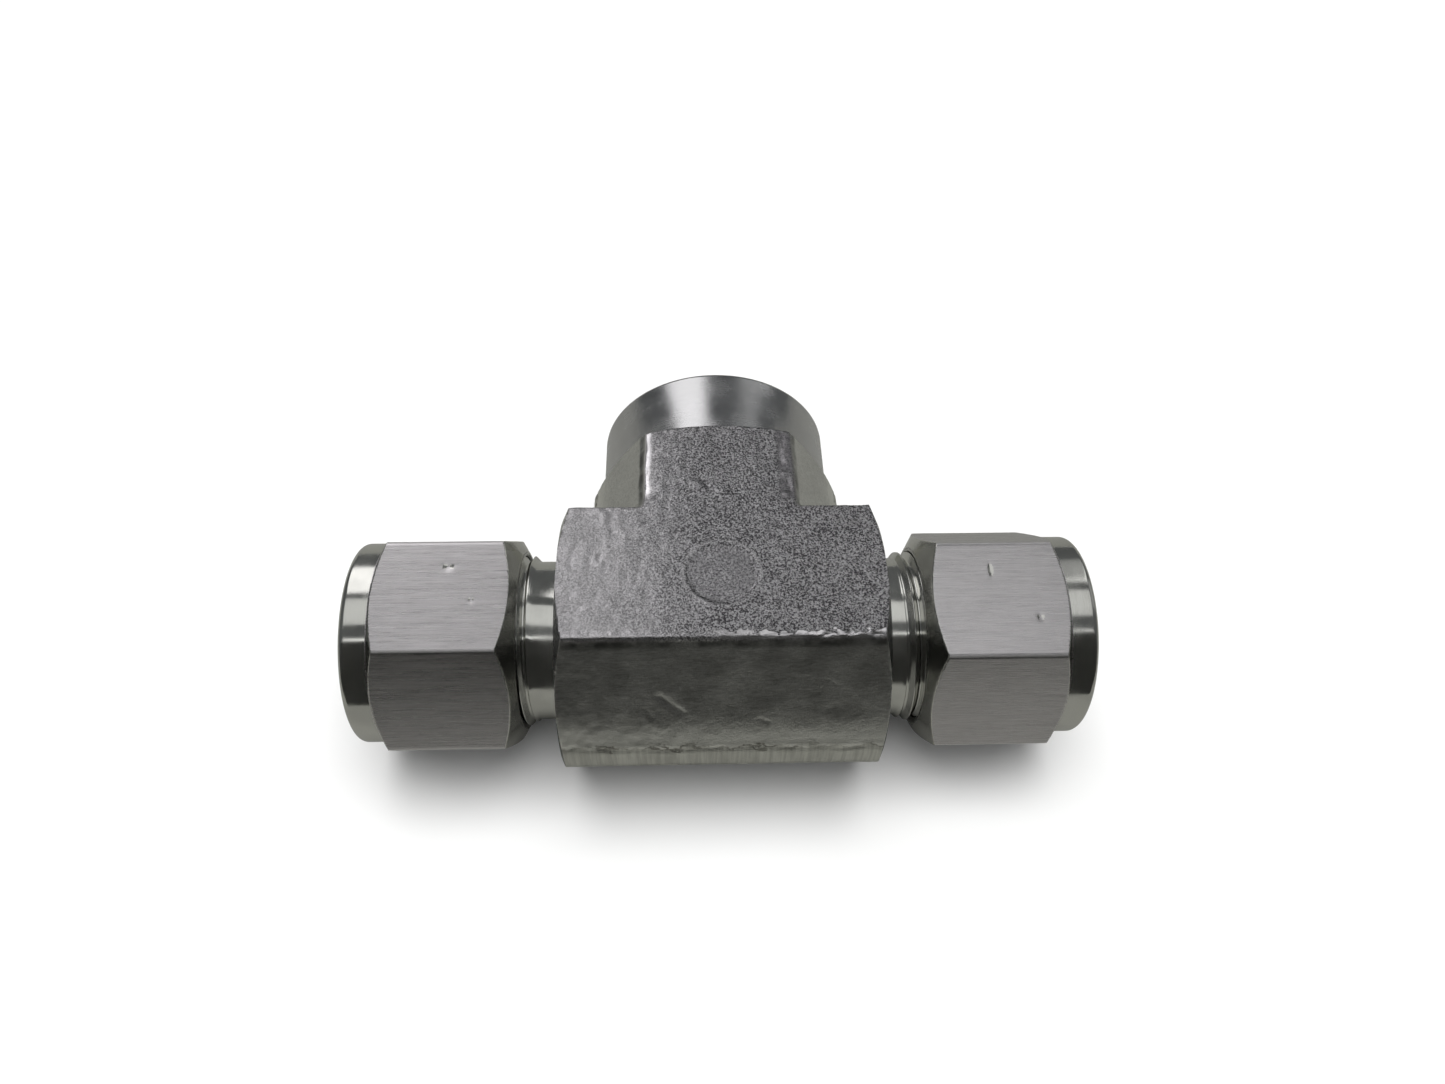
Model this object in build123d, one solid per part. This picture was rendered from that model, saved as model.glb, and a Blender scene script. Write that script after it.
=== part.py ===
from build123d import *
import math
import os

# A stainless twin-ferrule tube fitting: a female branch tee for 1/2 in tube.
# Millimetres. The origin is where the run and branch bores cross. +X runs along the
# right-hand tube end, +Y along the threaded branch, and +Z is up.

# ---- Threads -----------------------------------------------------------------------
FLANK_SLOPE = math.tan(math.radians(30))  # half-angle of both 60 degree forms

SHANK_PITCH = 1.27  # 3/4-20 UNEF, right-handed
SHANK_CREST_R = 9.47
SHANK_ROOT_R = 8.86
SHANK_CREST_WIDTH = 0.20
SHANK_THREAD_GAP = 0.10  # between nut and shank, square to the thread's surfaces
CUTTER_OVERLAP = 0.06  # how far a thread cutter stands past the metal's surface

NPT_PITCH = 1.814  # 1/2-14 NPT
NPT_TAPER = 1 / 32  # radius lost per length
NPT_ROOT_R = 10.61  # at the mouth
NPT_CREST_R = 9.20  # at the mouth
NPT_ROOT_WIDTH = 0.08
NPT_FULL_TURNS = 7
NPT_LEAD_TURNS = 2  # shallower and shallower, from the tap's lead
NPT_THREAD_LENGTH = 13.6
NPT_HOLE_DEPTH = 17.0
NPT_COUNTERSINK_R = 10.9
DRILL_POINT_SLOPE = math.tan(math.radians(30))  # point length per radius, for a 120 degree drill

# ---- Forged body -------------------------------------------------------------------
BODY_HALF_HEIGHT = 13.9
BODY_FLAT_HALF_WIDTH = 8.2  # top and bottom flats of both arms
BODY_HALF_WIDTH = 15.0  # over the trimmed parting band
FACET_SLOPE = math.tan(math.radians(60))
FORGED_EDGE_R = 0.8
ENVELOPE_R = 20.0  # a radius outside the forging
TURNED_CONE_SLOPE = math.tan(math.radians(25))
RUN_HALF_LENGTH = 17.1
BRANCH_HEX_END = 19.8
BOSS_R = 13.68
BOSS_END = 28.3
BOSS_CHAMFER = 0.6

RUN_BORE_R = 5.2
BRANCH_BORE_R = 4.8

# ---- Tube ends ---------------------------------------------------------------------
SOCKET_R = 6.43  # slides over 12.7 mm tube
TUBE_STOP = 16.6  # where the tube's end lands
NECK_R = 8.8
NECK_END = {"left": 20.0, "right": 19.3}  # where each shank's thread starts
SHANK_END = 30.6
SHANK_CHAMFER = 0.7
SEAT_MOUTH_R = 8.0
SEAT_SLOPE = math.tan(math.radians(12))

# ---- Nuts --------------------------------------------------------------------------
NUT_ACROSS_FLATS = 22.225  # 7/8 in
NUT_CORNER_R = 13.2  # a radius outside the hexagon's corners
NUT_START = 21.5
NUT_END = 39.5
NUT_HEX_START = 22.2  # the turned cones cross the middle of each flat here
NUT_HEX_END = 36.5
NUT_CONE_SLOPE = math.tan(math.radians(30))
NUT_SHOULDER_R = 11.04
NUT_END_ROUND = 0.7
NUT_BORE_R = 6.5
NUT_COUNTERSINK = 0.5
NUT_RELIEF_START = 30.5
NUT_POCKET_START = 32.3
NUT_POCKET_R = 8.5
NUT_SEAT_START = 33.2  # a 45 degree cone, down to the tube bore
# How far one hexagon corner stands above the front, in degrees, as each nut is turned
NUT_CORNER_ANGLE = {"left": 54.2, "right": 48.5}

# ---- Ferrules ----------------------------------------------------------------------
FERRULE_BORE_R = 6.41
FERRULE_GAP = 0.06
FRONT_NOSE = 25.4
FRONT_RIM_START = 31.2
FRONT_RIM_R = 8.05
FRONT_BACK = 32.1
FRONT_CUP_R = 7.3  # mouth of the 45 degree cup
BACK_NOSE = 31.5
BACK_RIM_START = 32.2
BACK_RIM_R = 7.95
BACK_END_R = 7.0

SIDE_TURN = {"left": 180.0, "right": 0.0}


def turned(*points):
    """Solid of revolution about X, from (x, radius) points."""
    return revolve(make_face(Polyline(*points, close=True)), Axis.X, 360)


def cut_thread(metal, pitch, start, root_r, root_width, rise, falls):
    """Cut a V groove round +X, one turn for each of falls, the radius that the turn loses.

    The groove widens outwards by rise, or inwards if rise is negative.
    """
    half_root = root_width / 2
    half_mouth = half_root + abs(rise) * FLANK_SLOPE
    section = make_face(
        Polyline((0, -half_root), (0, half_root), (rise, half_mouth), (rise, -half_mouth), close=True)
    )
    for turn, fall in enumerate(falls):
        cone_angle = -math.degrees(math.atan(fall / pitch))
        path = Helix(pitch, pitch, root_r, center=(0, 0, start + turn * pitch), cone_angle=cone_angle)
        place = Plane(origin=path @ 0, x_dir=(1, 0, 0), z_dir=path % 0)
        metal -= Rot(0, 90, 0) * sweep(place * section, path=path, is_frenet=True)
        root_r -= fall
    return metal


def on_side(side, piece):
    """Everything at a tube end is made on the right, then turned round for the left."""
    return Rot(0, 0, SIDE_TURN[side]) * piece


# ---- Tee body ----------------------------------------------------------------------
def arm_section():
    """Hexagon with flats above and below, and its side corners trimmed off."""
    band_half_height = BODY_HALF_HEIGHT - (BODY_HALF_WIDTH - BODY_FLAT_HALF_WIDTH) * FACET_SLOPE
    upper_right = [(BODY_HALF_WIDTH, band_half_height), (BODY_FLAT_HALF_WIDTH, BODY_HALF_HEIGHT)]
    upper = upper_right + [(-x, z) for x, z in reversed(upper_right)]
    lower = [(-x, -z) for x, z in upper]
    section = make_face(Polyline(*upper, *lower, close=True))
    return fillet(section.vertices(), FORGED_EDGE_R)


def run_arm():
    """Hexagonal run, with its ends faced and its corners turned back to cones."""
    prism = extrude(Plane.YZ * arm_section(), RUN_HALF_LENGTH, both=True)
    cone_length = (ENVELOPE_R - BODY_HALF_HEIGHT) * TURNED_CONE_SLOPE
    envelope = turned(
        (-RUN_HALF_LENGTH, 0),
        (-RUN_HALF_LENGTH, BODY_HALF_HEIGHT),
        (-RUN_HALF_LENGTH + cone_length, ENVELOPE_R),
        (RUN_HALF_LENGTH - cone_length, ENVELOPE_R),
        (RUN_HALF_LENGTH, BODY_HALF_HEIGHT),
        (RUN_HALF_LENGTH, 0),
    )
    return prism & envelope


def branch_arm():
    """Hexagonal branch that a cone turns down to the round boss, made along +X."""
    prism = extrude(Plane.YZ * arm_section(), BRANCH_HEX_END)
    cone_start = BRANCH_HEX_END - (ENVELOPE_R - BOSS_R) * TURNED_CONE_SLOPE
    envelope = turned(
        (0, 0),
        (0, ENVELOPE_R),
        (cone_start, ENVELOPE_R),
        (BRANCH_HEX_END, BOSS_R),
        (BRANCH_HEX_END, 0),
    )
    boss = turned(
        (0, 0),
        (0, BOSS_R),
        (BOSS_END - BOSS_CHAMFER, BOSS_R),
        (BOSS_END, BOSS_R - BOSS_CHAMFER),
        (BOSS_END, 0),
    )
    return (prism & envelope) + boss


def shank(side):
    """Threaded male end with a plain neck."""
    depth = SHANK_CREST_R - SHANK_ROOT_R
    thread_start = NECK_END[side]
    blank = turned(
        (TUBE_STOP, 0),
        (TUBE_STOP, NECK_R),
        (thread_start, NECK_R),
        (thread_start + SHANK_CREST_R - NECK_R, SHANK_CREST_R),
        (SHANK_END - SHANK_CHAMFER, SHANK_CREST_R),
        (SHANK_END, SHANK_CREST_R - SHANK_CHAMFER),
        (SHANK_END, 0),
    )
    rise = depth + CUTTER_OVERLAP
    root_width = SHANK_PITCH - SHANK_CREST_WIDTH - 2 * depth * FLANK_SLOPE
    first = math.floor(thread_start / SHANK_PITCH - 0.5)
    last = math.ceil(SHANK_END / SHANK_PITCH + 0.5)
    turns = [0] * (last - first)
    return cut_thread(blank, SHANK_PITCH, first * SHANK_PITCH, SHANK_ROOT_R, root_width, rise, turns)


def tube_bore():
    """Flow bore, tube socket and ferrule seat of one end."""
    seat_start = SHANK_END - (SEAT_MOUTH_R - SOCKET_R) / SEAT_SLOPE
    return turned(
        (0, 0),
        (0, RUN_BORE_R),
        (TUBE_STOP, RUN_BORE_R),
        (TUBE_STOP, SOCKET_R),
        (seat_start, SOCKET_R),
        (SHANK_END, SEAT_MOUTH_R),
        (SHANK_END, 0),
    )


def cut_branch_port(metal):
    """Taper pipe thread and flow bore, cut along +X from a mouth at the origin."""
    hole_r = NPT_CREST_R - NPT_THREAD_LENGTH * NPT_TAPER
    point_length = (hole_r - BRANCH_BORE_R) * DRILL_POINT_SLOPE
    countersink = NPT_COUNTERSINK_R - NPT_CREST_R
    metal -= turned(
        (0, 0),
        (0, NPT_COUNTERSINK_R),
        (countersink, NPT_CREST_R - countersink * NPT_TAPER),
        (NPT_THREAD_LENGTH, hole_r),
        (NPT_HOLE_DEPTH, hole_r),
        (NPT_HOLE_DEPTH + point_length, BRANCH_BORE_R),
        (BOSS_END, BRANCH_BORE_R),
        (BOSS_END, 0),
    )
    rise = -(NPT_ROOT_R - NPT_CREST_R + CUTTER_OVERLAP)
    start_r = NPT_ROOT_R + NPT_PITCH * NPT_TAPER
    full_fall = NPT_PITCH * NPT_TAPER
    lead_fall = (NPT_ROOT_R - NPT_CREST_R) / NPT_LEAD_TURNS
    falls = [full_fall] * NPT_FULL_TURNS + [lead_fall] * NPT_LEAD_TURNS
    return cut_thread(metal, NPT_PITCH, -NPT_PITCH, start_r, NPT_ROOT_WIDTH, rise, falls)


def tee_body():
    body = run_arm() + Rot(0, 0, 90) * branch_arm()
    for side in SIDE_TURN:
        body += on_side(side, shank(side))
    for side in SIDE_TURN:
        body -= on_side(side, tube_bore())
    mouth = Pos(0, BOSS_END, 0) * Rot(0, 0, -90)
    return mouth * cut_branch_port(mouth.inverse() * body)


# ---- Nut ---------------------------------------------------------------------------
def nut_outside(side):
    """Hexagon between two turned cones, with a round shoulder at its outer end."""
    corner = NUT_CORNER_ANGLE[side] if side == "left" else 180 - NUT_CORNER_ANGLE[side]
    flat_r = NUT_ACROSS_FLATS / 2
    hexagon = RegularPolygon(flat_r, 6, major_radius=False, rotation=corner)
    prism = Pos(NUT_START, 0, 0) * extrude(Plane.YZ * hexagon, NUT_END - NUT_START)
    corner_length = (NUT_CORNER_R - flat_r) * NUT_CONE_SLOPE
    shoulder_length = (flat_r - NUT_SHOULDER_R) * NUT_CONE_SLOPE
    outline = make_face(
        Polyline(
            (NUT_START, 0),
            (NUT_START, flat_r - (NUT_HEX_START - NUT_START) / NUT_CONE_SLOPE),
            (NUT_HEX_START + corner_length, NUT_CORNER_R),
            (NUT_HEX_END - corner_length, NUT_CORNER_R),
            (NUT_HEX_END + shoulder_length, NUT_SHOULDER_R),
            (NUT_END, NUT_SHOULDER_R),
            (NUT_END, 0),
            close=True,
        )
    )
    end_corner = outline.vertices().sort_by_distance((NUT_END, NUT_SHOULDER_R, 0))[0]
    return prism & revolve(fillet(end_corner, NUT_END_ROUND), Axis.X, 360)


def nut(side):
    """Nut with its thread, relief, ferrule pocket and tube bore."""
    crest_r = SHANK_ROOT_R + SHANK_THREAD_GAP
    root_r = SHANK_CREST_R + SHANK_THREAD_GAP
    relief_r = root_r + SHANK_THREAD_GAP
    countersink_length = (relief_r - crest_r) / 2
    seat_length = NUT_POCKET_R - NUT_BORE_R
    blank = nut_outside(side) - turned(
        (NUT_START, 0),
        (NUT_START, relief_r),
        (NUT_START + countersink_length, crest_r),
        (NUT_RELIEF_START, crest_r),
        (NUT_RELIEF_START, relief_r),
        (NUT_POCKET_START, relief_r),
        (NUT_POCKET_START, NUT_POCKET_R),
        (NUT_SEAT_START, NUT_POCKET_R),
        (NUT_SEAT_START + seat_length, NUT_BORE_R),
        (NUT_END - NUT_COUNTERSINK, NUT_BORE_R),
        (NUT_END, NUT_BORE_R + NUT_COUNTERSINK),
        (NUT_END, 0),
    )
    flank_gap = SHANK_THREAD_GAP * (math.hypot(1, FLANK_SLOPE) - FLANK_SLOPE)
    root_width = SHANK_CREST_WIDTH + 2 * flank_gap
    rise = -(root_r - crest_r + CUTTER_OVERLAP)
    # Half a turn from the shank's grooves, so that ridges stand in grooves
    first = math.floor(NUT_START / SHANK_PITCH - 1) + 0.5
    turns = [0] * round((NUT_RELIEF_START + NUT_POCKET_START) / 2 / SHANK_PITCH - first)
    start = first * SHANK_PITCH
    return on_side(side, cut_thread(blank, SHANK_PITCH, start, root_r, root_width, rise, turns))


# ---- Ferrules ----------------------------------------------------------------------
def front_ferrule():
    """Sealing ring, tapered to the body's seat and cupped behind."""
    slant_gap = FERRULE_GAP * math.hypot(1, SEAT_SLOPE)

    def seat_r(x):
        return SEAT_MOUTH_R - (SHANK_END - x) * SEAT_SLOPE - slant_gap

    return turned(
        (FRONT_NOSE, FERRULE_BORE_R),
        (FRONT_NOSE, seat_r(FRONT_NOSE)),
        (SHANK_END, seat_r(SHANK_END)),
        (FRONT_RIM_START, FRONT_RIM_R),
        (FRONT_BACK, FRONT_RIM_R),
        (FRONT_BACK, FRONT_CUP_R),
        (FRONT_BACK - (FRONT_CUP_R - FERRULE_BORE_R), FERRULE_BORE_R),
    )


def back_ferrule():
    """Gripping ring: its nose fits the front ferrule's cup, its back the nut's cone."""
    slant_gap = FERRULE_GAP * math.sqrt(2)

    def cup_r(x):
        return FRONT_CUP_R - (FRONT_BACK - x) - slant_gap

    nut_cone_x = NUT_SEAT_START + NUT_POCKET_R - slant_gap
    return turned(
        (BACK_NOSE, FERRULE_BORE_R),
        (BACK_NOSE, cup_r(BACK_NOSE)),
        (BACK_RIM_START, cup_r(BACK_RIM_START)),
        (BACK_RIM_START, BACK_RIM_R),
        (nut_cone_x - BACK_RIM_R, BACK_RIM_R),
        (nut_cone_x - BACK_END_R, BACK_END_R),
        (nut_cone_x - BACK_END_R, FERRULE_BORE_R),
    )


nodes = {"tee_body": tee_body()}
for end in SIDE_TURN:
    nodes[f"{end}_nut"] = nut(end)
    nodes[f"{end}_front_ferrule"] = on_side(end, front_ferrule())
    nodes[f"{end}_back_ferrule"] = on_side(end, back_ferrule())

os.makedirs("parts", exist_ok=True)
for name, piece in nodes.items():
    export_step(piece, f"parts/{name}.step")
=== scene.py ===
import math
import bpy
import bmesh
import numpy as np
from mathutils import Matrix, Vector, noise


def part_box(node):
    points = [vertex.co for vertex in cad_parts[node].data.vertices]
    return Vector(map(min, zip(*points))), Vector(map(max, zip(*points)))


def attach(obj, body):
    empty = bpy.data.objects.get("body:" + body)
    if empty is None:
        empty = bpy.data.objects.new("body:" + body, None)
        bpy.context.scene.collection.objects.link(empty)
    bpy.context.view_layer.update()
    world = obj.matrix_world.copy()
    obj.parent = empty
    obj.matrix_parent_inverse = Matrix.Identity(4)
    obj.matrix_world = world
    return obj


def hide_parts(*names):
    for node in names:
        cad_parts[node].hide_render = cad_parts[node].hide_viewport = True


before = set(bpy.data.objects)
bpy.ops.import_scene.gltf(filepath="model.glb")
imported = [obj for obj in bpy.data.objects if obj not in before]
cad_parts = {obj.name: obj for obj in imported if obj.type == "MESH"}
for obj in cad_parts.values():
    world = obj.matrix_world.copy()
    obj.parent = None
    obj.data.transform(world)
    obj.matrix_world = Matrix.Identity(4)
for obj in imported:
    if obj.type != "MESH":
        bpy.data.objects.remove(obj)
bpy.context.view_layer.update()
MM = 0.001
SIDES = ("left", "right")
SHARP_ANGLE = math.radians(28)  # edges steeper than this stay crisp

# ---- Sizes, in millimetres, read from the CAD nodes' boxes where they give them ----
body_low, body_high = (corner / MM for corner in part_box("tee_body"))
HALF_HEIGHT = body_high.z
HALF_WIDTH = -body_low.y
BOSS_END = body_high.y
FLAT_HALF_WIDTH = 8.2
RUN_HALF_LENGTH = 17.1
CONE_SLOPE = math.tan(math.radians(25))
BRANCH_HEX_END = 19.8
BOSS_R = 13.68
BOSS_EDGE = 0.6
RUN_ENVELOPE_R = 16.6  # radii outside the forging, where the turned cones start
BRANCH_ENVELOPE_R = 18.0
BRANCH_ENVELOPE_START = 4.0
RUN_CORE_R = 11.0  # machined metal inside these radii comes from the CAD mesh
BRANCH_CORE_R = 12.0
RUN_SEAT_R = 8.2  # bored metal lies inside these radii
RUN_SOCKET_R = 6.5
BRANCH_THREAD_R = 10.95
FACE_TOLERANCE = 0.02  # how far from its plane or cone a face's centre may lie
CONE_TOLERANCE = 0.012

# ---- Marks of forging, trimming and handling on the tee ----------------------------
FORGING_ALLOWANCE = 0.12  # how far the forged skin lies under the CAD faces on average
FORGING_VOXEL = 0.25
BAND_HALF_HEIGHT = 2.1  # of the trimmed parting band
PAD_CENTRE = (0.0, -0.6)  # blank round pad on the top face
PAD_R = 3.9
PAD_DEPTH = 0.07
FORGING_DENTS = [
    # centre, radius, depth (negative for a pip), stretch
    ((7.4, 11.0, HALF_HEIGHT), 1.3, 0.24, (0.9, 3.0, 1)),
    ((7.3, 12.6, HALF_HEIGHT), 0.62, -0.34, (1, 1, 1)),
    ((7.3, 9.7, HALF_HEIGHT), 0.62, -0.34, (1, 1, 1)),
    ((6.8, 14.8, HALF_HEIGHT), 0.9, 0.18, (0.7, 1.8, 1)),
    ((-1.6, 12.0, HALF_HEIGHT), 1.0, 0.20, (1.6, 0.8, 1)),
    ((2.4, 13.4, HALF_HEIGHT), 0.7, 0.14, (0.6, 1.6, 1)),
    ((12.4, -7.9, HALF_HEIGHT), 0.8, 0.24, (1, 0.6, 1)),
    ((10.2, -8.2, HALF_HEIGHT), 0.6, 0.26, (1, 0.8, 1)),
    ((15.2, -8.3, HALF_HEIGHT), 0.7, 0.22, (1.4, 0.8, 1)),
]
TOP_SCRATCHES = [
    # one end, other end, width, depth
    ((-5.9, 11.6), (-4.9, 11.0), 0.16, 0.14),
    ((-0.6, 15.4), (-0.4, 12.4), 0.20, 0.12),
    ((1.2, 11.0), (2.6, 12.2), 0.15, 0.14),
    ((-12.8, 1.2), (-12.4, 2.2), 0.20, 0.14),
    ((4.6, 9.6), (4.7, 7.6), 0.17, 0.12),
    ((-3.6, 15.0), (-3.5, 13.4), 0.20, 0.12),
    ((-2.4, 12.8), (-0.9, 10.4), 0.17, 0.14),
    ((7.0, 12.0), (7.3, 10.4), 0.16, -0.12),
]
FACET_SCRATCHES = [
    # one end, other end as (x, z) on the front facet, width, depth
    ((-6.5, 7.8), (-4.2, 6.1), 0.34, 0.15),
    ((-8.0, 6.6), (-7.3, 5.6), 0.14, 0.08),
    ((3.6, 5.4), (4.6, 5.0), 0.16, 0.08),
    ((10.5, 9.4), (11.6, 8.6), 0.14, 0.08),
]

# ---- Nuts --------------------------------------------------------------------------
NUT_CORE_R = 10.0  # inside this radius the metal comes from the CAD mesh
NUT_FLAT_R = 22.225 / 2
NUT_START = 21.5
NUT_END = 39.5
NUT_HEX_START = 22.2
NUT_HEX_END = 36.5
NUT_SHOULDER_R = 11.04
NUT_END_ROUND = 0.7
NUT_EDGE_BREAK = 0.10
NUT_CORNER_WEAR = 0.10
NUT_HIGHLIGHT_R = 12.73  # at this radius the corners get a painted highlight
NUT_CONE_SLOPE = math.tan(math.radians(30))
NUT_CORNER_ANGLE = {"left": 54.2, "right": 48.5}  # of the first corner about the run's axis
NUT_POINTS_PER_FLAT = 56
NUT_DENTS = {
    # distance along the nut, height up the flat, size, depth, stretch
    "left": [(28.7, 3.4, 0.75, 0.13, (1, 0.8, 3)), (26.0, -0.6, 0.5, 0.09, (1, 0.8, 3))],
    "right": [(28.6, 3.2, 0.6, 0.09, (0.45, 1.8, 3)), (33.2, -2.2, 0.5, 0.08, (1, 1, 3))],
}

# ---- Stage, in millimetres and degrees ---------------------------------------------
FLOOR_SIZE = 6000
BACKDROP_R = 2600
FLOOR_LIGHT = 2.9
# Painted shade seen only in reflections: a grey sheet just over the pale floor and a dark card in front
REFLECTED_CARDS = [
    # name, centre, width, depth, facing, grey
    ("shaded_table_card", (0, 0, -HALF_HEIGHT + 0.02), 3000, 3000, (0, 0, 1), 0.25),
    ("dark_card", (0, -65, 50), 400, 124, (0, 1, 0), 0.035),
]
SOFTBOXES = [
    # name, place, width, height, brightness, colour
    ("window", (-160, 330, 330), 220, 300, 1.4, (1.0, 0.985, 1.0)),
    ("ceiling", (0, 25, 420), 460, 230, 0.66, (1, 1, 1)),
    ("front_strip", (0, -230, 330), 400, 110, 1.2, (1, 1, 1)),
    ("right_panel", (260, 350, 350), 210, 300, 0.30, (1, 1, 1)),
    ("right_strip", (290, 320, 320), 34, 300, 1.2, (1, 1, 1)),
    ("side_panel", (450, 150, 250), 220, 300, 0.22, (1, 1, 1)),
]
SKY = (0.95, 0.98, 1.0)
SKY_BRIGHTNESS = 0.12
CAMERA_TURN = (3.19, 53.66, 1.99)  # right of +Y, downwards and roll
CAMERA_DISTANCE = 107.97
CAMERA_TARGET = (-0.04, 0, 18.28)
CAMERA_LENS = 26.96


# ---- Mesh helpers ------------------------------------------------------------------
def new_object(name, vertices, faces):
    mesh = bpy.data.meshes.new(name)
    mesh.from_pydata([tuple(v) for v in vertices], [], [tuple(f) for f in faces])
    mesh.update()
    piece = bpy.data.objects.new(name, mesh)
    bpy.context.scene.collection.objects.link(piece)
    return piece


def outward(piece):
    """Point every face of a closed mesh outwards."""
    bm = bmesh.new()
    bm.from_mesh(piece.data)
    bmesh.ops.recalc_face_normals(bm, faces=bm.faces)
    bm.to_mesh(piece.data)
    bm.free()
    return piece


def apply_modifiers(piece):
    bpy.context.view_layer.update()
    graph = bpy.context.evaluated_depsgraph_get()
    mesh = bpy.data.meshes.new_from_object(piece.evaluated_get(graph))
    piece.modifiers.clear()
    piece.data = mesh
    return piece


def boolean(piece, other, operation):
    """piece combined with other, which is used up."""
    step = piece.modifiers.new("combine", "BOOLEAN")
    step.operation = operation
    step.solver = "MANIFOLD"
    step.object = other
    apply_modifiers(piece)
    bpy.data.objects.remove(other)
    return piece


def cad_copy(node, name):
    """A CAD node's mesh in millimetres, closed again where the file split it."""
    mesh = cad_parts[node].data.copy()
    mesh.transform(Matrix.Scale(1 / MM, 4))
    bm = bmesh.new()
    bm.from_mesh(mesh)
    bmesh.ops.remove_doubles(bm, verts=bm.verts, dist=0.0005)
    bm.to_mesh(mesh)
    bm.free()
    mesh.materials.clear()
    piece = bpy.data.objects.new(name, mesh)
    bpy.context.scene.collection.objects.link(piece)
    return piece


def ring_faces(rings, steps):
    """Faces of a closed stack of rings: first its start point, then the rings, then its end point."""
    last = 1 + rings * steps
    top = last - steps
    faces = []
    for i in range(steps):
        j = (i + 1) % steps
        faces.append((0, 1 + j, 1 + i))
        for a in range(1, top, steps):
            b = a + steps
            faces.append((a + i, a + j, b + j, b + i))
        faces.append((top + i, top + j, last))
    return faces


def lathe(name, outline, steps=256):
    """Closed solid turned about X from (x, radius) points that start and end on the axis."""
    vertices = [(outline[0][0], 0, 0)]
    for x, r in outline[1:-1]:
        for i in range(steps):
            a = math.tau * i / steps
            vertices.append((x, r * math.cos(a), r * math.sin(a)))
    vertices.append((outline[-1][0], 0, 0))
    return outward(new_object(name, vertices, ring_faces(len(outline) - 2, steps)))


def cylinder(name, start, end, radius):
    return lathe(name, [(start, 0), (start, radius), (end, radius), (end, 0)])


def arc(centre, radius, start, end, steps):
    """Points on an arc, both ends included, with angles in degrees."""
    points = []
    for i in range(steps + 1):
        a = math.radians(start + (end - start) * i / steps)
        points.append((centre[0] + radius * math.cos(a), centre[1] + radius * math.sin(a)))
    return points


# ---- Tee body ----------------------------------------------------------------------
def hexagon_arm(name, start, end):
    """Prism of the forging's section along X."""
    band = HALF_HEIGHT - (HALF_WIDTH - FLAT_HALF_WIDTH) * math.sqrt(3)
    right = [(HALF_WIDTH, band), (FLAT_HALF_WIDTH, HALF_HEIGHT)]
    upper = right + [(-y, z) for y, z in reversed(right)]
    section = upper + [(-y, -z) for y, z in upper]
    count = len(section)
    vertices = [(x, y, z) for x in (start, end) for y, z in section]
    faces = [tuple(range(count)), tuple(range(2 * count - 1, count - 1, -1))]
    for i in range(count):
        j = (i + 1) % count
        faces.append((i, j, count + j, count + i))
    return outward(new_object(name, vertices, faces))


def forging_blank():
    """Both arms in one, finely meshed, with softened edges."""
    run = hexagon_arm("forging", -RUN_HALF_LENGTH - 1, RUN_HALF_LENGTH + 1)
    branch = hexagon_arm("branch", 0, BRANCH_HEX_END + 2)
    branch.data.transform(Matrix.Rotation(math.pi / 2, 4, "Z"))
    boolean(run, branch, "UNION")
    remesh = run.modifiers.new("remesh", "REMESH")
    remesh.mode = "VOXEL"
    remesh.voxel_size = FORGING_VOXEL
    smooth = run.modifiers.new("smooth", "SMOOTH")
    smooth.iterations = 6
    smooth.factor = 0.5
    return apply_modifiers(run)


def dent(points, centre, radius, depth, stretch):
    """How far each point sinks into a soft-edged dent. stretch makes it long or narrow."""
    away = (points - np.array(centre)) / (np.array(stretch) * radius)
    return depth * np.exp(-2.5 * (away ** 2).sum(1))


def scratch(points, start, end, width, depth):
    """How far each point sinks into a straight scratch between two points."""
    start = np.array(start)
    along = np.array(end) - start
    reach = np.clip((points - start) @ along / (along @ along), 0, 1)
    away = np.linalg.norm(points - start - np.outer(reach, along), axis=1)
    return depth * np.exp(-((away / width) ** 2))


def on_facet(x, z):
    """Point on the front upper facet at height z."""
    return (x, -FLAT_HALF_WIDTH - (HALF_HEIGHT - z) / math.sqrt(3), z)


def ripple(points, per_mm, offset):
    """Smooth noise from -1 to 1 at each point."""
    shift = Vector((offset, -offset, 2 * offset))
    return np.array([noise.noise(Vector(p) * per_mm + shift) for p in points])


def fade(value, start, end):
    """0 before start and 1 past end, smooth between."""
    t = np.clip((value - start) / (end - start), 0, 1)
    return t * t * (3 - 2 * t)


def uneven_skin(points):
    """Allowance under the CAD faces with blasted orange peel, coarser to the left."""
    x, y, z = points.T
    on_flat = 0.35 + 0.65 * fade(np.abs(z), HALF_HEIGHT - 1.5, HALF_HEIGHT - 0.5)
    coarse = on_flat * (1 - 0.55 * fade(x, -9, 1))
    sink = FORGING_ALLOWANCE - 0.035 * ripple(points, 0.22, 3) - 0.025 * ripple(points, 0.7, 7)
    sink -= 0.075 * coarse * ripple(points * (1, 0.6, 1), 1.4, 11)
    sink -= 0.030 * on_flat * ripple(points, 2.2, 13)
    sink -= 0.070 * on_flat * fade(y, 6, 14) * ripple(points * (1, 0.5, 1), 1.1, 37)
    return sink


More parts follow.
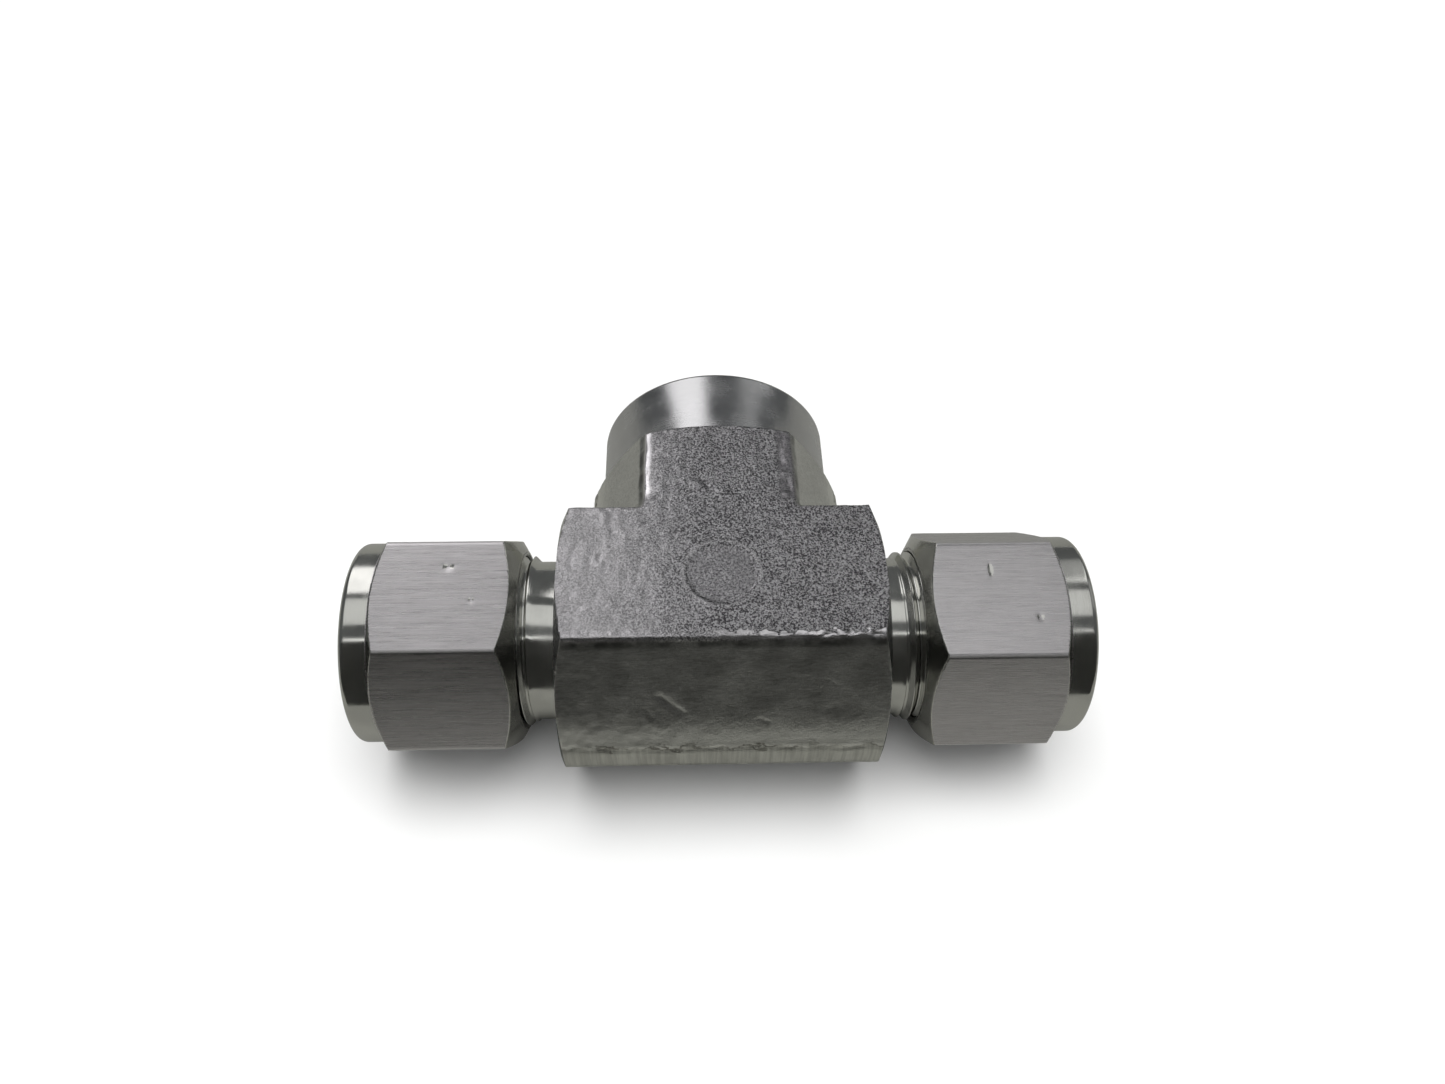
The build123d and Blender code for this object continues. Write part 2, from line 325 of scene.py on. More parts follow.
def worn_edges(points):
    """Front edge, ragged to the right and bevelled to the left, and the branch's rolled edge."""
    x, y, z = points.T
    on_top = z > HALF_HEIGHT - 1
    edge = np.exp(-(((y + FLAT_HALF_WIDTH) / 0.85) ** 2 + ((z - HALF_HEIGHT) / 0.85) ** 2))
    uneven = 0.7 + 0.5 * ripple(points, 0.8, 17) + 0.5 * ripple(points, 2.2, 19)
    sink = edge * (0.04 + 0.20 * fade(x, -1, 5) * uneven)
    bevel = np.exp(-(((y + FLAT_HALF_WIDTH - 0.9) / 0.55) ** 2)) * on_top * (1 - fade(x, -6, 2))
    sink += 0.13 * bevel
    rolled = np.exp(-(((x + FLAT_HALF_WIDTH) / 1.1) ** 2)) * fade(y, FLAT_HALF_WIDTH, 10.0) * on_top
    return sink + 0.15 * rolled


def parting_band(points):
    """Soft corners beside the band, wavy flaws along them and upright trim marks on it."""
    x, y, z = points.T
    past_band = np.abs(z) - BAND_HALF_HEIGHT
    reach = np.where(past_band > 0, 1.9, 0.7)
    sink = 0.32 * np.exp(-((past_band / reach) ** 2)) * fade(np.abs(y), 10, 11.5)
    for side in (-1, 1):
        line = 1.9 + 0.35 * np.sin(0.35 * x + side) + 0.35 * ripple(points, 0.6, 23)
        near = np.exp(-(((side * z - line) / 0.22) ** 2)) * (np.abs(y) > FLAT_HALF_WIDTH + 2)
        sink += 0.14 * near * np.clip(ripple(points * (0.5, 1, 1), 0.9, 29) + 0.2, 0, 1)
    band = np.exp(-((z / 1.8) ** 4)) * (np.abs(y) > HALF_WIDTH - 0.6)
    return sink + band * 0.06 * np.abs(ripple(points * (1, 0.1, 0.05), 1.6, 31))


def press_pad(points, sink):
    """The sink with a blank round pad pressed into the top face, inside a soft rim."""
    x, y, z = points.T
    on_top = z > HALF_HEIGHT - 1
    from_pad = np.hypot(x - PAD_CENTRE[0], y - PAD_CENTRE[1])
    inside = on_top * (1 - fade(from_pad, PAD_R - 0.35, PAD_R))
    pressed = sink * (1 - inside) + inside * (FORGING_ALLOWANCE + PAD_DEPTH)
    return pressed - on_top * 0.09 * np.exp(-(((from_pad - PAD_R - 0.15) / 0.22) ** 2))


def handling_marks(points):
    sink = np.zeros(len(points))
    for centre, radius, depth, stretch in FORGING_DENTS:
        sink += dent(points, centre, radius, depth, stretch)
    for first, last, width, depth in TOP_SCRATCHES:
        sink += scratch(points, (*first, HALF_HEIGHT), (*last, HALF_HEIGHT), width, depth)
    for first, last, width, depth in FACET_SCRATCHES:
        sink += scratch(points, on_facet(*first), on_facet(*last), width, depth)
    return sink


def roughen_forging(piece):
    """Sink the skin unevenly, never outwards, so that it looks forged and shot-blasted."""
    mesh = piece.data
    points = np.zeros(len(mesh.vertices) * 3)
    normals = np.zeros(len(mesh.vertices) * 3)
    mesh.vertices.foreach_get("co", points)
    mesh.vertex_normals.foreach_get("vector", normals)
    points = points.reshape(-1, 3)
    normals = normals.reshape(-1, 3)
    sink = uneven_skin(points) + worn_edges(points) + parting_band(points)
    sink = press_pad(points, sink) + handling_marks(points)
    points -= normals * np.maximum(sink, 0.01)[:, None]
    mesh.vertices.foreach_set("co", points.ravel())
    mesh.update()


def along_branch(piece):
    """Turn a solid made along X so that it runs along the branch."""
    piece.data.transform(Matrix.Rotation(math.pi / 2, 4, "Z"))
    return piece


def turning_envelope():
    """All that the lathe leaves: the faced run ends with their cones, and the branch boss."""
    cone_start = RUN_HALF_LENGTH - (RUN_ENVELOPE_R - HALF_HEIGHT) * CONE_SLOPE
    right = [(cone_start, RUN_ENVELOPE_R), (RUN_HALF_LENGTH, HALF_HEIGHT), (RUN_HALF_LENGTH, 0)]
    left = [(-x, r) for x, r in reversed(right)]
    run = lathe("envelope", left + right, steps=360)

    cone_start = BRANCH_HEX_END - (BRANCH_ENVELOPE_R - BOSS_R) * CONE_SLOPE
    hexagon = [(BRANCH_ENVELOPE_START, 0), (BRANCH_ENVELOPE_START, BRANCH_ENVELOPE_R)]
    cone = [(cone_start, BRANCH_ENVELOPE_R), (BRANCH_HEX_END, BOSS_R)]
    rounding = arc((BOSS_END - BOSS_EDGE, BOSS_R - BOSS_EDGE), BOSS_EDGE, 90, 0, 5)
    branch = lathe("boss_envelope", hexagon + cone + rounding + [(BOSS_END, 0)], steps=360)
    along_branch(branch)
    return boolean(run, branch, "UNION")


def boss_blank():
    return along_branch(cylinder("boss_blank", BRANCH_HEX_END + 0.4, BOSS_END + 1, BOSS_R + 1))


def machined_core():
    """Room for the metal that comes from the CAD mesh: bores, threads and shanks."""
    run = cylinder("core", -NUT_END, NUT_END, RUN_CORE_R)
    branch = along_branch(cylinder("branch_core", 0, BOSS_END + 1, BRANCH_CORE_R))
    return boolean(run, branch, "UNION")


def make_tee():
    tee = forging_blank()
    roughen_forging(tee)
    boolean(tee, boss_blank(), "UNION")
    boolean(tee, turning_envelope(), "INTERSECT")
    boolean(tee, machined_core(), "DIFFERENCE")
    inside = boolean(cad_copy("tee_body", "tee_inside"), machined_core(), "INTERSECT")
    boolean(tee, inside, "UNION")
    return tee


def tee_finish(face):
    """Which material one face of the tee takes: forged, turned, bright or bore."""
    x, y, z = face.center
    from_run = math.hypot(y, z)
    from_branch = math.hypot(x, z)
    run_cone = RUN_HALF_LENGTH - (from_run - HALF_HEIGHT) * CONE_SLOPE
    branch_cone = BRANCH_HEX_END - (from_branch - BOSS_R) * CONE_SLOPE
    if abs(x) > RUN_HALF_LENGTH + FACE_TOLERANCE:
        return "bore" if from_run < RUN_SEAT_R else "bright"
    in_branch = BRANCH_ENVELOPE_START < y < BOSS_END - CONE_TOLERANCE and from_branch < BRANCH_THREAD_R
    if from_run < RUN_SOCKET_R or in_branch:
        return "bore"
    if abs(x) > RUN_HALF_LENGTH - FACE_TOLERANCE or y > BRANCH_HEX_END:
        return "turned"
    if abs(run_cone - abs(x)) < CONE_TOLERANCE and y < RUN_ENVELOPE_R:
        return "turned"
    if abs(branch_cone - y) < CONE_TOLERANCE:
        return "turned"
    return "forged"


# ---- Nuts --------------------------------------------------------------------------
def soft_min(a, b, width):
    """The smaller of two radii, blended over a short width."""
    h = np.clip(0.5 + 0.5 * (b - a) / width, 0, 1)
    return b + (a - b) * h - width * h * (1 - h)


def nut_stations(side):
    """Distances along the nut, closer together at its edges and dents."""
    stations = [np.arange(NUT_START, NUT_END, 0.3)]
    for start, end in ((NUT_START, NUT_HEX_START + 1.7), (NUT_HEX_END - 1.5, NUT_HEX_END + 0.4)):
        stations.append(np.arange(start, end, 0.07))
    for along_nut, *_ in NUT_DENTS[side]:
        stations.append(np.arange(along_nut - 0.7, along_nut + 0.7, 0.1))
    stations.append(NUT_END - NUT_END_ROUND * (1 - np.sin(np.linspace(0, math.pi / 2, 10))))
    stations.append([NUT_END])
    return np.unique(np.round(np.concatenate(stations), 3))


def nut_radius(x, from_flat):
    """Skin radius at distance x along the nut and an angle from the middle of a flat."""
    hexagon = NUT_FLAT_R / np.cos(from_flat)
    corner_r = NUT_FLAT_R / math.cos(math.pi / 6) - NUT_CORNER_WEAR
    inner_cone = NUT_FLAT_R + (x - NUT_HEX_START) / NUT_CONE_SLOPE
    outer_cone = NUT_FLAT_R + (NUT_HEX_END - x) / NUT_CONE_SLOPE
    into_round = np.clip(x - (NUT_END - NUT_END_ROUND), 0, NUT_END_ROUND)
    shoulder = NUT_SHOULDER_R - NUT_END_ROUND + np.sqrt(NUT_END_ROUND ** 2 - into_round ** 2)
    radius = soft_min(hexagon, np.full_like(hexagon, corner_r), NUT_CORNER_WEAR)
    radius = soft_min(radius, inner_cone, NUT_EDGE_BREAK)
    return soft_min(radius, np.maximum(outer_cone, shoulder), NUT_EDGE_BREAK)


def nut_skin(side):
    """Outside of a nut as a closed solid: hexagon, turned cones and round shoulder."""
    across = np.linspace(-1, 1, NUT_POINTS_PER_FLAT, endpoint=False)
    across = np.sign(across) * (1 - (1 - np.abs(across)) ** 1.5)  # closer together at the corners
    from_flat = np.arctan(across * math.tan(math.pi / 6))
    corner = math.radians(NUT_CORNER_ANGLE[side])
    first_corner = corner if side == "left" else math.pi - corner
    angles = np.concatenate([from_flat + i * math.pi / 3 for i in range(6)])
    angles = angles + first_corner + math.pi / 6

    x, turn = np.meshgrid(nut_stations(side), np.tile(from_flat, 6), indexing="ij")
    radius = nut_radius(x, turn)
    points = np.stack([x, radius * np.cos(angles), radius * np.sin(angles)], axis=2).reshape(-1, 3)
    for mark in NUT_DENTS[side]:
        points = dent_nut(points, side, *mark)
    vertices = [(NUT_START, 0, 0)] + [tuple(p) for p in points] + [(NUT_END, 0, 0)]
    return outward(new_object("nut_skin", vertices, ring_faces(*radius.shape)))


def dent_nut(points, side, along_nut, up_flat, size, depth, stretch):
    """Sink a small dent into the upper front flat, up_flat above its middle."""
    facing = math.radians(NUT_CORNER_ANGLE[side] + 30)
    if side == "left":
        normal = np.array([0, math.cos(facing), math.sin(facing)])
        upward = np.array([0, -math.sin(facing), math.cos(facing)])
    else:
        normal = np.array([0, -math.cos(facing), math.sin(facing)])
        upward = np.array([0, math.sin(facing), math.cos(facing)])
    centre = np.array([along_nut, 0, 0]) + NUT_FLAT_R * normal + up_flat * upward
    away = points - centre
    local = np.stack([away[:, 0], away @ upward, away @ normal], axis=1)
    return points - np.outer(dent(local, (0, 0, 0), size, depth, stretch), normal)


def nut_finish(face):
    """Which material one face of a nut takes: flat, bright or bore."""
    x = abs(face.center.x)
    from_axis = math.hypot(face.center.y, face.center.z)
    if from_axis < NUT_CORE_R - FACE_TOLERANCE and NUT_START + 0.01 < x < NUT_END - 0.01:
        return "bore"
    if abs(face.normal.x) > 0.12 or x > NUT_HEX_END + 0.1:
        return "bright"
    return "flat"


def make_nut(side):
    """Made at the right-hand end, like the CAD nut, and turned round for the left."""
    half_turn = Matrix.Rotation(math.pi, 4, "Z")
    nut = nut_skin(side)
    boolean(nut, cylinder("nut_core", NUT_START - 1, NUT_END + 1, NUT_CORE_R), "DIFFERENCE")
    inside = cad_copy(f"{side}_nut", "nut_inside")
    if side == "left":
        inside.data.transform(half_turn)
    boolean(inside, cylinder("nut_core", NUT_START - 1, NUT_END + 1, NUT_CORE_R), "INTERSECT")
    boolean(nut, inside, "UNION")
    if side == "left":
        nut.data.transform(half_turn)
    return nut


# ---- Finishing a piece -------------------------------------------------------------
def set_finishes(piece, finish_of, materials):
    """Give each face the material that finish_of names, and shade it smooth up to real edges."""
    names = list(materials)
    piece.data.materials.clear()
    for name in names:
        piece.data.materials.append(materials[name])
    index = [names.index(finish_of(face)) for face in piece.data.polygons]
    piece.data.polygons.foreach_set("material_index", index)
    piece.data.shade_smooth()
    piece.data.set_sharp_from_angle(angle=SHARP_ANGLE)
    for face in piece.data.polygons:
        if abs(face.normal.x) > 0.9999 or face.center.y > BOSS_END - 0.01:
            face.use_smooth = False
    piece.modifiers.new("even_shading", "WEIGHTED_NORMAL").keep_sharp = True
    apply_modifiers(piece)


def place(piece, name, body, node):
    """Back to metres, then handed to the frame in place of its CAD node."""
    piece.data.transform(Matrix.Scale(MM, 4))
    piece.name = name
    piece.data.name = name
    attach(piece, body)
    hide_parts(node)


# ---- Materials ---------------------------------------------------------------------
class Shader:
    """A Principled material with a few helpers for building its node tree."""

    def __init__(self, name, colour, roughness, **sockets):
        self.material = bpy.data.materials.new(name)
        self.material.use_nodes = True
        self.nodes = self.material.node_tree.nodes
        self.links = self.material.node_tree.links
        self.surface = self.nodes["Principled BSDF"]
        self.surface.inputs["Base Color"].default_value = (*colour, 1)
        self.surface.inputs["Metallic"].default_value = 1
        self.surface.inputs["Roughness"].default_value = roughness
        for socket, value in sockets.items():
            self.surface.inputs[socket.replace("_", " ").title()].default_value = value
        self.place = self.nodes.new("ShaderNodeTexCoord").outputs["Object"]

    def link(self, source, target):
        self.links.new(source, target)

    def stretched(self, per_mm):
        """Object coordinates with so many units to the millimetre along X, Y and Z."""
        mapping = self.nodes.new("ShaderNodeMapping")
        mapping.inputs["Scale"].default_value = [s / MM for s in per_mm]
        self.link(self.place, mapping.inputs["Vector"])
        return mapping.outputs["Vector"]

    def axes(self):
        """Object coordinates in millimetres, as three values."""
        split = self.nodes.new("ShaderNodeSeparateXYZ")
        self.link(self.stretched((1, 1, 1)), split.inputs["Vector"])
        return split.outputs

    def noise(self, per_mm, detail=2.0, rough=0.5, distortion=0.0):
        texture = self.nodes.new("ShaderNodeTexNoise")
        texture.inputs["Scale"].default_value = 1.0
        texture.inputs["Detail"].default_value = detail
        texture.inputs["Roughness"].default_value = rough
        texture.inputs["Distortion"].default_value = distortion
        self.link(self.stretched(per_mm), texture.inputs["Vector"])
        return texture.outputs["Fac"]

    def cells(self, per_mm):
        texture = self.nodes.new("ShaderNodeTexVoronoi")
        texture.inputs["Scale"].default_value = 1.0
        self.link(self.stretched(per_mm), texture.inputs["Vector"])
        return texture.outputs["Distance"]

    def ramp(self, value, low, high, start, end):
        """Map low..high onto start..end, with smooth ends."""
        node = self.nodes.new("ShaderNodeMapRange")
        node.interpolation_type = "SMOOTHSTEP"
        for socket, number in zip(("From Min", "From Max", "To Min", "To Max"), (low, high, start, end)):
            node.inputs[socket].default_value = number
        self.link(value, node.inputs["Value"])
        return node.outputs["Result"]

    def maths(self, operation, a, b=0.0):
        node = self.nodes.new("ShaderNodeMath")
        node.operation = operation
        for socket, value in zip(node.inputs, (a, b)):
            if isinstance(value, (int, float)):
                socket.default_value = value
            else:
                self.link(value, socket)
        return node.outputs["Value"]

    def product(self, first, *others):
        for other in others:
            first = self.maths("MULTIPLY", first, other)
        return first

    def distance(self, a, b):
        """Distance of a point from an axis, from its two offsets."""
        squares = self.maths("ADD", self.product(a, a), self.product(b, b))
        return self.maths("SQRT", squares)

    def mix(self, factor, first, second):
        node = self.nodes.new("ShaderNodeMix")
        node.data_type = "RGBA"
        self.link(factor, node.inputs["Factor"])
        for socket, colour in zip(("A", "B"), (first, second)):
            target = next(s for s in node.inputs if s.name == socket and s.type == "RGBA")
            if isinstance(colour, tuple):
                target.default_value = (*colour, 1)
            else:
                self.link(colour, target)
        return next(s for s in node.outputs if s.type == "RGBA")

    def bump(self, height, depth_mm, strength=1.0, under=None):
        node = self.nodes.new("ShaderNodeBump")
        node.inputs["Strength"].default_value = strength
        node.inputs["Distance"].default_value = depth_mm * MM
        self.link(height, node.inputs["Height"])
        if under is not None:
            self.link(under, node.inputs["Normal"])
        return node.outputs["Normal"]

    def finish(self, colour=None, roughness=None, normal=None):
        for socket, source in (("Base Color", colour), ("Roughness", roughness), ("Normal", normal)):
            if source is not None:
                self.link(source, self.surface.inputs[socket])
        return self.material


def flat_mask(s):
    """1 on the forging's top and bottom flats, 0 on its facets."""
    height = s.maths("ABSOLUTE", s.axes()[2])
    return s.ramp(height, HALF_HEIGHT - 0.9, HALF_HEIGHT - 0.4, 0, 1)


def worn_and_highlight_mask(s, on_flat, ragged):
    """Bright worn metal, partly a painted highlight: the branch flat's rolled left edge and the run's
    front edge.
    """
    x, y, z = s.axes()
    rolled = s.product(s.ramp(x, -7.9, -7.2, 1, 0), s.ramp(y, 9.0, 10.5, 0, 1), on_flat)
    from_edge = s.maths("ABSOLUTE", s.maths("ADD", y, FLAT_HALF_WIDTH))
    front = s.ramp(s.maths("ADD", from_edge, ragged), 0.4, 0.8, 1, 0)
    front = s.product(front, s.ramp(x, -4, 6, 0.15, 1), on_flat)
    return s.maths("MAXIMUM", rolled, front)


def pad_masks(s, on_flat):
    """The blank round pad on the top face, and the rim around it."""
    x, y, z = s.axes()
    on_top = s.product(s.ramp(z, 0, 1, 0, 1), on_flat)
    across = s.maths("SUBTRACT", x, PAD_CENTRE[0])
    along = s.maths("SUBTRACT", y, PAD_CENTRE[1])
    from_pad = s.distance(across, along)
    pad = s.product(s.ramp(from_pad, PAD_R - 0.4, PAD_R, 1, 0), on_top)
    inner = s.ramp(from_pad, PAD_R - 0.1, PAD_R + 0.1, 0, 1)
    outer = s.ramp(from_pad, PAD_R + 0.2, PAD_R + 0.5, 1, 0)
    return pad, s.product(s.product(inner, outer), on_top)


def facet_scuffs_and_painted_shade(s, scuffs):
    """Scuffed facets, with painted shade under their top edge and a painted reflection paler towards the
    trimmed parting band.
    """
    height = s.maths("ABSOLUTE", s.axes()[2])
    waver = s.ramp(s.noise((0.8, 0.8, 1.5), detail=3), 0.3, 0.7, -0.5, 0.5)
    from_middle = s.maths("ADD", height, waver)
    colour = s.mix(s.ramp(scuffs, 0.35, 0.65, 0, 1), (0.52, 0.52, 0.49), (0.72, 0.72, 0.69))
    # Painted reflection: the facets grow paler towards the parting band
    colour = s.mix(s.ramp(from_middle, 2.5, 6.5, 0.9, 0), colour, (0.84, 0.84, 0.79))

    trims = s.noise((2.2, 0.1, 0.12), detail=3, rough=0.6)
    band = s.mix(s.ramp(trims, 0.35, 0.65, 0, 1), (0.52, 0.52, 0.48), (0.68, 0.68, 0.63))
    colour = s.mix(s.ramp(from_middle, 1.8, 2.5, 1, 0), colour, band)

    # Painted shade: dark, unevenly, just under the facets' top edge
    painted_shade_under_edge = s.ramp(height, HALF_HEIGHT - 1.6, HALF_HEIGHT - 1.0, 0, 1)
    uneven = s.ramp(s.noise((0.5, 0.5, 0.5), detail=3), 0.35, 0.65, 0.3, 0.9)
    colour = s.mix(s.product(painted_shade_under_edge, uneven), colour, (0.16, 0.16, 0.15))

    flaw = s.product(s.ramp(from_middle, 1.6, 1.9, 0, 1), s.ramp(from_middle, 2.0, 2.3, 1, 0))
    broken = s.ramp(s.noise((0.4, 0.4, 0.4), detail=4), 0.45, 0.6, 0, 0.7)
    return s.mix(s.product(flaw, broken), colour, (0.16, 0.15, 0.13))


def forged_steel():
    """Shot-blasted forging: pitted grain on the flats, smoother facets and a trimmed band, with painted
    shade under the facets' top edge and a painted reflection paler towards the band.
    """
    s = Shader("forged_steel", (0.46, 0.45, 0.46), 0.36)
    x, y, z = s.axes()
    on_flat = flat_mask(s)
    mottle = s.noise((0.3, 0.3, 0.3), detail=2)
    ragged = s.ramp(s.noise((1.4, 1.4, 1.4), detail=3), 0.3, 0.7, -0.4, 0.4)
    worn_and_highlight = worn_and_highlight_mask(s, on_flat, ragged)
    pad, rim = pad_masks(s, on_flat)
    # Strip that was struck, by the branch flat's right edge
    struck = s.product(s.ramp(x, 6.2, 6.9, 0, 1), s.ramp(y, 8.6, 9.4, 0, 1), on_flat)

    # Blasted grain, fading out where the metal is smoother
    smoother = s.maths("MAXIMUM", s.maths("MAXIMUM", worn_and_highlight, s.product(struck, 0.6)), s.product(pad, 0.6))
    coarse = s.product(s.ramp(on_flat, 0, 1, 0.32, 1), s.ramp(x, -11, 2, 0.6, 1))
    coarse = s.product(coarse, s.ramp(smoother, 0, 1, 1, 0.15), s.ramp(mottle, 0.35, 0.65, 0.65, 1.1))
    grain = s.noise((5.2, 5.2, 5.2), detail=2, rough=0.6, distortion=0.3)
    pits = s.cells((2.6, 2.6, 2.6))
    speck = s.maths("ADD", s.product(s.maths("SUBTRACT", grain, 0.5), coarse), 0.5)
    blasted = s.mix(s.ramp(speck, 0.41, 0.59, 0, 1), (0.11, 0.105, 0.11), (0.62, 0.61, 0.62))
    blasted = s.mix(s.ramp(x, -15, -1, 0.45, 0), blasted, (0.80, 0.78, 0.79))
    blasted = s.mix(s.product(struck, 0.5), blasted, (0.22, 0.21, 0.22))
    # Edges painted bright: worn metal and a painted highlight
    blasted = s.mix(s.product(worn_and_highlight, 0.9), blasted, (0.88, 0.86, 0.87))
    rim = s.product(rim, s.ramp(ragged, -0.4, 0.4, 0.05, 0.5))
    blasted = s.mix(rim, blasted, (0.80, 0.78, 0.79))

    scuffs = s.noise((0.7, 4.0, 4.0), detail=3, rough=0.7, distortion=1.5)
    colour = s.mix(on_flat, facet_scuffs_and_painted_shade(s, scuffs), blasted)
    roughness = s.maths("SUBTRACT", s.ramp(mottle, 0.3, 0.7, 0.34, 0.42), s.product(worn_and_highlight, 0.08))
    normal = s.bump(s.product(pits, coarse), 0.06, 0.6)
    normal = s.bump(s.product(grain, coarse), 0.14, 0.9, under=normal)
    normal = s.bump(scuffs, 0.02, 0.5, under=normal)
    return s.finish(colour, roughness, normal)


def turned_steel(name, per_mm, colour, roughness):
    """Lathe-turned satin steel, with fine feed lines across the axis that per_mm crowds."""
    s = Shader(name, colour, roughness)
    lines = s.noise(per_mm, detail=3, rough=0.7)
    smudge = s.noise((0.25, 0.25, 0.25), detail=3)
    dark = tuple(c * 0.86 for c in colour)
    tone = s.mix(s.ramp(smudge, 0.35, 0.65, 0, 1), dark, colour)
    smudged = s.ramp(smudge, 0.3, 0.7, roughness - 0.04, roughness + 0.06)
    rough = s.maths("ADD", smudged, s.ramp(lines, 0.3, 0.7, 0, 0.05))
    return s.finish(tone, rough, s.bump(lines, 0.006, 0.6))


def brushed_steel():
    """Nut flats, brushed along the nut's axis, with a painted highlight on the corners."""
    s = Shader("brushed_steel", (0.58, 0.56, 0.56), 0.30)
    streaks = s.noise((0.12, 10.0, 10.0), detail=3, rough=0.7)
    fine = s.noise((0.3, 20.0, 20.0), detail=2)
    mottle = s.noise((0.35, 0.6, 0.6), detail=3)
    tone = s.maths("ADD", s.product(streaks, 0.6), s.product(fine, 0.4))
    brushed = s.mix(s.ramp(tone, 0.38, 0.62, 0, 1), (0.47, 0.455, 0.46), (0.66, 0.64, 0.645))
    colour = s.mix(s.ramp(mottle, 0.35, 0.65, 0, 0.35), brushed, (0.62, 0.60, 0.605))
    x, y, z = s.axes()
    # Painted highlight: the corners are lighter in colour and rougher
    edge = s.ramp(s.distance(y, z), NUT_HIGHLIGHT_R - 0.03, NUT_HIGHLIGHT_R, 0, 1)
    colour = s.mix(edge, colour, (0.90, 0.88, 0.88))
    roughness = s.maths("ADD", s.ramp(streaks, 0.3, 0.7, 0.25, 0.34), s.product(edge, 0.35))
    normal = s.bump(streaks, 0.016, 0.6)
    normal = s.bump(fine, 0.006, 0.6, under=normal)
    return s.finish(colour, roughness, normal)


def pale_floor():
    s = Shader("pale_floor", (0.86, 0.86, 0.85), 0.75, metallic=0)
    soft = s.ramp(s.noise((0.02, 0.02, 0.02), detail=2), 0.3, 0.7, 0, 1)
    return s.finish(s.mix(soft, (0.85, 0.85, 0.84), (0.88, 0.88, 0.875)))


def pale_wall():
    s = Shader("pale_wall", (0, 0, 0), 0.9, metallic=0, emission_strength=0.9)
    s.surface.inputs["Emission Color"].default_value = (1, 1, 0.99, 1)
    return s.material


def card_grey(name, tone):
    return Shader(name, (tone, tone, tone * 0.93), 0.9, metallic=0).material


# ---- The object --------------------------------------------------------------------
FORGED = forged_steel()
BOSS_TURNED = turned_steel("turned_boss", (0.15, 14.0, 0.15), (0.60, 0.60, 0.60), 0.20)
# The slight yellow tint of this base colour is a painted reflection
BRIGHT = turned_steel("bright_turned", (16.0, 0.2, 0.2), (0.66, 0.66, 0.62), 0.10)
BORE = turned_steel("bored_steel", (9.0, 9.0, 9.0), (0.5, 0.5, 0.48), 0.28)
BRUSHED = brushed_steel()

tee = make_tee()
set_finishes(tee, tee_finish, {"forged": FORGED, "turned": BOSS_TURNED, "bright": BRIGHT, "bore": BORE})
place(tee, "tee_body_forging", "tee", "tee_body")

for side in SIDES:
    nut = make_nut(side)
    set_finishes(nut, nut_finish, {"flat": BRUSHED, "bright": BRIGHT, "bore": BORE})
    place(nut, f"{side}_hex_nut", f"{side}_nut", f"{side}_nut")
    for ring in ("front_ferrule", "back_ferrule"):
        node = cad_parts[f"{side}_{ring}"]
        node.data.materials.clear()
        node.data.materials.append(BRIGHT)


# ---- Stage -------------------------------------------------------------------------
def plane(name, centre, width, depth, facing, material):
    """Flat stage sheet, in millimetres, with its normal along facing."""
    turn = Vector(facing).to_track_quat("Z", "Y").to_matrix()
    corners = [(-1, -1), (1, -1), (1, 1), (-1, 1)]
    vertices = [Vector(centre) + turn @ Vector((u * width / 2, v * depth / 2, 0)) for u, v in corners]
    sheet = new_object(name, vertices, [(0, 1, 2, 3)])
    sheet.data.transform(Matrix.Scale(MM, 4))
    sheet.data.materials.append(material)
    return sheet


def reflected_card(name, centre, width, depth, facing, tone):
    """Card that only the polished metal sees, painting shade into its reflections."""
    card = plane(name, centre, width, depth, facing, card_grey(name, tone))
    card.visible_camera = False
    card.visible_shadow = False
    card.visible_diffuse = False


def backdrop():
    """Round pale wall far behind the floor, that only the camera sees."""
    steps = 48
    ring = [(math.cos(math.tau * i / steps), math.sin(math.tau * i / steps)) for i in range(steps)]
    vertices = [(BACKDROP_R * x, BACKDROP_R * y, z) for z in (-HALF_HEIGHT, BACKDROP_R) for x, y in ring]
    faces = [(i, (i + 1) % steps, steps + (i + 1) % steps, steps + i) for i in range(steps)]
    wall = new_object("backdrop", vertices, faces)
    wall.data.transform(Matrix.Scale(MM, 4))
    wall.data.materials.append(pale_wall())
    wall.visible_glossy = False
    wall.visible_diffuse = False
    wall.visible_shadow = False


def lamp(name, light):
    light_object = bpy.data.objects.new(name, light)
    bpy.context.scene.collection.objects.link(light_object)
    return light_object


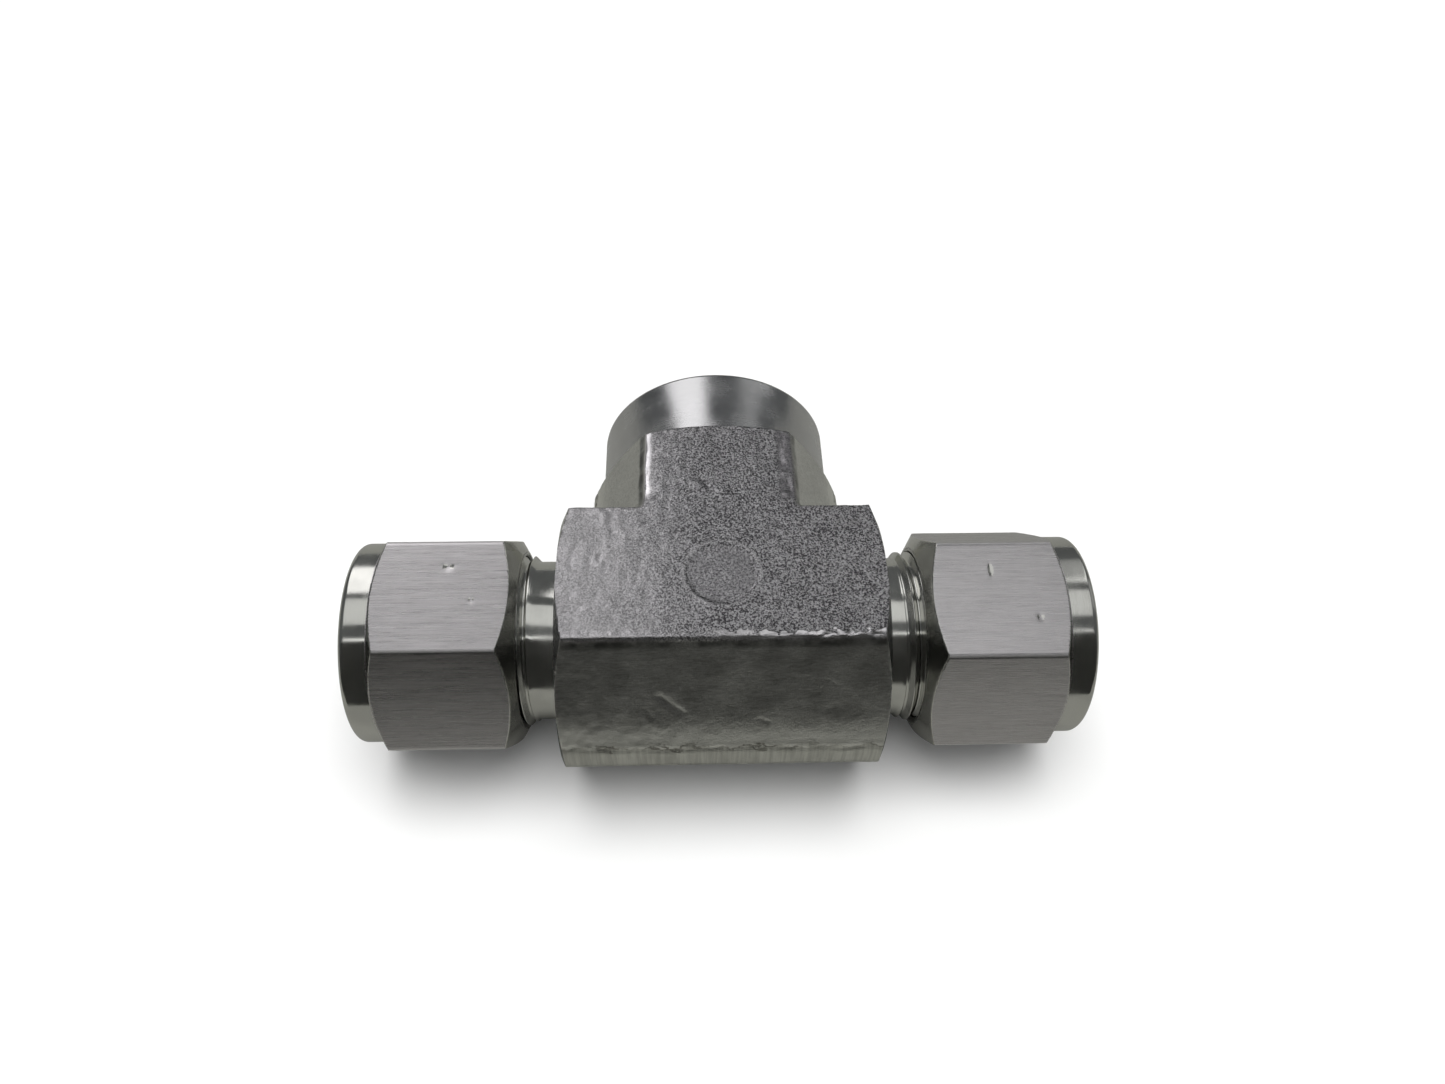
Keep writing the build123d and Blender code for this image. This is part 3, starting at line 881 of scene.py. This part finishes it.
def softbox(name, spot, width, height, brightness, colour):
    """Rectangular light aimed at the tee. brightness is its radiance, where 1 shows as white."""
    light = bpy.data.lights.new(name, "AREA")
    light.shape = "RECTANGLE"
    light.size = width * MM
    light.size_y = height * MM
    light.energy = brightness * math.pi * light.size * light.size_y
    light.color = colour
    box = lamp(name, light)
    box.location = Vector(spot) * MM
    box.rotation_euler = Vector(spot).to_track_quat("Z", "Y").to_euler()


def floor_light():
    """Soft light from straight above that whitens the floor and never glints on the metal."""
    light = bpy.data.lights.new("floor_light", "SUN")
    light.energy = FLOOR_LIGHT
    light.angle = math.radians(50)
    lamp("floor_light", light).visible_glossy = False


def sky():
    world = bpy.data.worlds.new("studio")
    world.use_nodes = True
    background = world.node_tree.nodes["Background"]
    background.inputs["Color"].default_value = (*SKY, 1)
    background.inputs["Strength"].default_value = SKY_BRIGHTNESS
    bpy.context.scene.world = world


def add_camera():
    """Camera that looks down on the tee from the front, aimed at CAMERA_TARGET."""
    yaw, down, roll = (math.radians(a) for a in CAMERA_TURN)
    forward = Vector((math.sin(yaw) * math.cos(down), math.cos(yaw) * math.cos(down), -math.sin(down)))
    right = Vector((math.cos(yaw), -math.sin(yaw), 0))
    upward = right.cross(forward)
    across = math.cos(roll) * right + math.sin(roll) * upward
    upright = -math.sin(roll) * right + math.cos(roll) * upward
    data = bpy.data.cameras.new("camera")
    data.lens = CAMERA_LENS
    data.sensor_width = 36
    data.clip_start = 0.001
    camera = bpy.data.objects.new("camera", data)
    turn = Matrix((across, upright, -forward)).transposed()
    spot = Vector(CAMERA_TARGET) - CAMERA_DISTANCE * forward
    camera.matrix_world = Matrix.Translation(spot * MM) @ turn.to_4x4()
    bpy.context.scene.collection.objects.link(camera)
    bpy.context.scene.camera = camera


plane("floor", (0, 0, -HALF_HEIGHT), FLOOR_SIZE, FLOOR_SIZE, (0, 0, 1), pale_floor())
backdrop()
for card in REFLECTED_CARDS:
    reflected_card(*card)
for box in SOFTBOXES:
    softbox(*box)
floor_light()
sky()
add_camera()
bpy.context.scene.view_settings.view_transform = "Standard"
